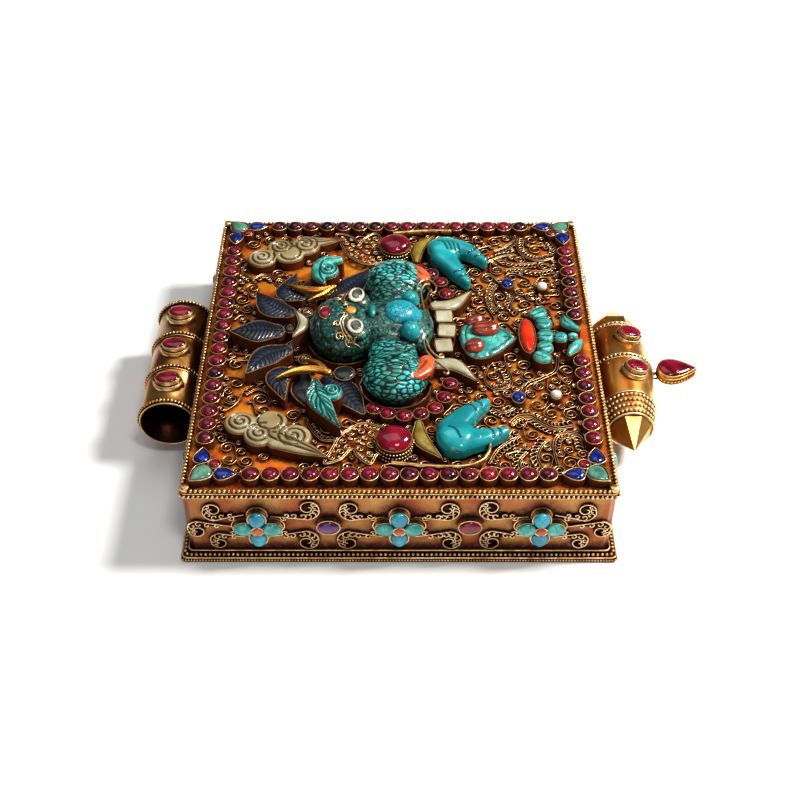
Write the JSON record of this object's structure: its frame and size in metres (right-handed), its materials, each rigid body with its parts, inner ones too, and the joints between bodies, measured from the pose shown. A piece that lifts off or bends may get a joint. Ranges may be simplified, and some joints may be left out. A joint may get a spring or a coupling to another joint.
{
  "type": "gau prayer box",
  "caption": "Flat gilt prayer box with a jewelled monster mask on its face, a cord tube at the top and a barrel with a pendant drop below.",
  "frame": {"origin": "middle of the back cover's underside, where the box rests", "axes": "+X from the cord tube to the pendant, +Y across the face, +Z out of the face"},
  "size_m": [0.1566, 0.1206, 0.0383],
  "materials": {
    "antique_gilt": "antique gilding over copper, rubbed bright on the edges and red-brown in the recesses",
    "bright_gilt": "satin bright gilding",
    "ruby": "polished ruby cabochons in thin gilt collets",
    "lapis": "carved and polished lapis lazuli in gilt bezels",
    "turquoise": "carved and polished turquoise with dark matrix, in gilt bezels",
    "coral": "polished coral with dark pits",
    "pale_stone": "polished ivory-coloured carved stone in gilt bezels",
    "olive_jade": "polished olive jade",
    "pearl": "pearl lustre",
    "grey_crystal": "polished grey crystal in a white ring"
  },
  "bodies": {
    "root": {"front_shell": "antique_gilt", "back_cover": "antique_gilt", "rim_wire_upper": "antique_gilt", "rim_wire_lower": "antique_gilt", "base_wire": "antique_gilt", "cord_tube": "antique_gilt", "barrel": "bright_gilt", "horn_front": "bright_gilt", "horn_back": "bright_gilt", "border_front": "ruby", "border_right": "ruby", "border_back": "ruby", "border_left": "ruby", "cord_tube_ruby_1": "ruby", "cord_tube_ruby_2": "ruby", "cord_tube_ruby_3": "ruby", "barrel_ruby_1": "ruby", "barrel_ruby_2": "ruby", "pendant_drop": "ruby", "great_ruby_front": "ruby", "great_ruby_back": "ruby", "ruby_arc_front": "ruby", "ruby_arc_back": "ruby", "third_eye": "ruby", "crown_leaf_middle": "lapis", "crown_leaf_front": "lapis", "crown_leaf_back": "lapis", "crown_side_leaf_front": "lapis", "crown_side_leaf_back": "lapis", "lapis_front": "lapis", "lapis_back": "lapis", "mask": "turquoise", "hand_front": "turquoise", "hand_back": "turquoise", "swirl_leaf_front": "turquoise", "swirl_leaf_back": "turquoise", "turquoise_lotus": "turquoise", "wall_stones_front": "turquoise", "wall_stones_back": "turquoise", "wall_flower_left_front": "turquoise", "wall_flower_left_back": "turquoise", "wall_flower_right_front": "turquoise", "wall_flower_right_back": "turquoise", "tongue": "coral", "coral_oval": "coral", "cheek_coral_front": "coral", "cheek_coral_back": "coral", "cloud_front": "pale_stone", "cloud_back": "pale_stone", "crown_moon": "pale_stone", "teeth": "pale_stone", "tusk_front": "pale_stone", "tusk_back": "pale_stone", "crescent_front": "olive_jade", "crescent_back": "olive_jade", "pearl_front": "pearl", "pearl_back": "pearl", "eye_front": "grey_crystal", "eye_back": "grey_crystal"}
  },
  "joints": []
}
